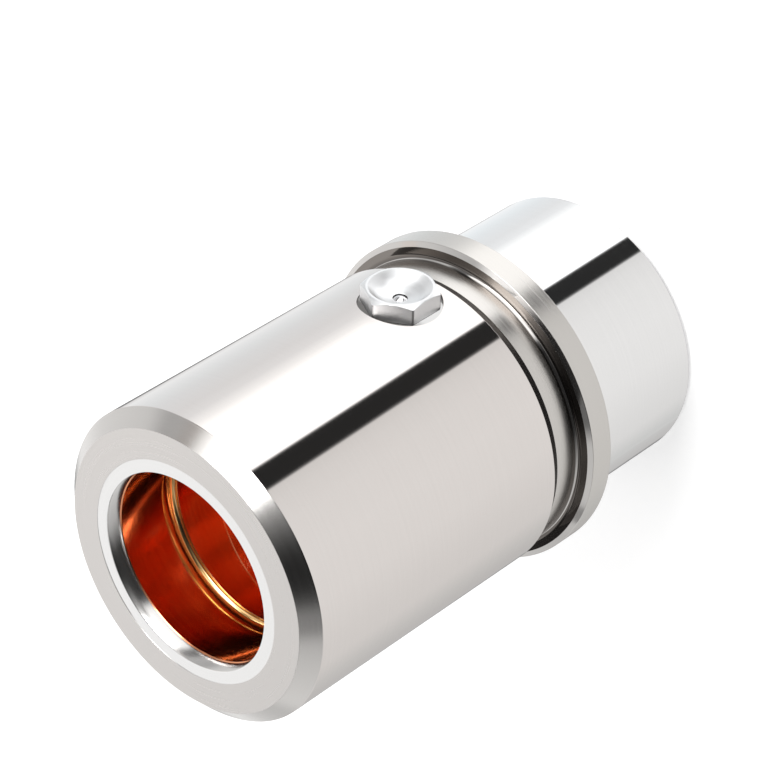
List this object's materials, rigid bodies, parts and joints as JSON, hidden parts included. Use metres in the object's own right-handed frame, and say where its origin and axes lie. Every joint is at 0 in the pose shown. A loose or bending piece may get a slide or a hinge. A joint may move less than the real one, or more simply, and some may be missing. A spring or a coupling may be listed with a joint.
{
  "type": "guide bushing",
  "caption": "Flanged guide bushing: ground steel sleeve with collar and spigot, grooved bronze bore lining and a funnel grease nipple with a check valve.",
  "frame": {"origin": "on the bushing's axis, in the plane of the collar's seating face", "axes": "+Z along the axis from the spigot to the mouth of the guiding body, +X out through the grease nipple"},
  "size_m": [0.0486, 0.048, 0.08],
  "materials": {
    "ground_steel": "ground outside, fine-turned end face and collar",
    "bronze": "honed bronze with turned lubrication grooves",
    "zinc_plated_steel": "bright zinc plating",
    "bearing_steel": "polished",
    "spring_steel": "drawn wire"
  },
  "bodies": {
    "bushing": {"bush_body": "ground_steel", "bronze_lining": "bronze", "grease_nipple": "zinc_plated_steel", "check_spring": "spring_steel"},
    "ball": {"check_ball": "bearing_steel"}
  },
  "joints": [
    {"name": "ball_check", "type": "slide", "parent": "bushing", "child": "ball", "axis": [-1, 0, 0], "range_m": [0, 0.0008], "stiffness_N_per_m": 20, "springref_m": -0.0001, "deforming": ["check_spring"]}
  ]
}
